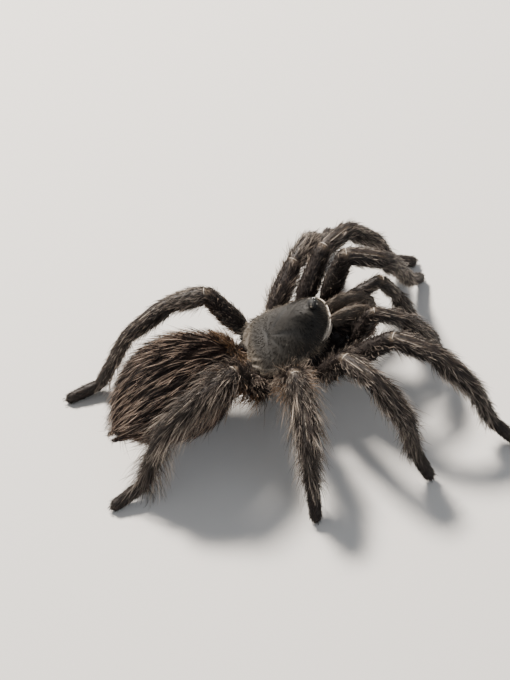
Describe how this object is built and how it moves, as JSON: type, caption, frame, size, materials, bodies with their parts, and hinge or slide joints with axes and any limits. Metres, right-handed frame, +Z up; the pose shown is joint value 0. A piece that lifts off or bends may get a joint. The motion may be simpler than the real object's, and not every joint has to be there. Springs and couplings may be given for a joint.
{
  "type": "tarantula",
  "caption": "Life-size still model of a hairy brown ground tarantula standing with one front leg reaching forward.",
  "frame": {"origin": "middle of the model's bounding box at floor level", "axes": "+Z up, the animal faces -Y and its left side is +X"},
  "size_m": [0.0914, 0.105, 0.0325],
  "materials": {
    "coat": "dark brown bristly hair over soft skin, with paler tan tips",
    "shell": "short flat grey-brown velvet over a hard plate",
    "eyes": "polished black lenses on a dark mound",
    "fang": "smooth glossy black"
  },
  "bodies": {
    "root": {"carapace": "shell", "eye_mound": "eyes", "sternum": "coat", "pedicel": "coat", "abdomen": "coat", "chelicera_r": "coat", "fang_r": "fang", "spinneret_long_r": "coat", "spinneret_short_r": "coat", "coxa_palp_r": "coat", "femur_palp_r": "coat", "tibia_palp_r": "coat", "foot_palp_r": "coat", "coxa_leg1_r": "coat", "femur_leg1_r": "coat", "tibia_leg1_r": "coat", "foot_leg1_r": "coat", "coxa_leg2_r": "coat", "femur_leg2_r": "coat", "tibia_leg2_r": "coat", "foot_leg2_r": "coat", "coxa_leg3_r": "coat", "femur_leg3_r": "coat", "tibia_leg3_r": "coat", "foot_leg3_r": "coat", "coxa_leg4_r": "coat", "femur_leg4_r": "coat", "tibia_leg4_r": "coat", "foot_leg4_r": "coat", "chelicera_l": "coat", "fang_l": "fang", "spinneret_long_l": "coat", "spinneret_short_l": "coat", "coxa_palp_l": "coat", "femur_palp_l": "coat", "tibia_palp_l": "coat", "foot_palp_l": "coat", "coxa_leg1_l": "coat", "femur_leg1_l": "coat", "tibia_leg1_l": "coat", "foot_leg1_l": "coat", "coxa_leg2_l": "coat", "femur_leg2_l": "coat", "tibia_leg2_l": "coat", "foot_leg2_l": "coat", "coxa_leg3_l": "coat", "femur_leg3_l": "coat", "tibia_leg3_l": "coat", "foot_leg3_l": "coat", "coxa_leg4_l": "coat", "femur_leg4_l": "coat", "tibia_leg4_l": "coat", "foot_leg4_l": "coat"}
  },
  "joints": []
}
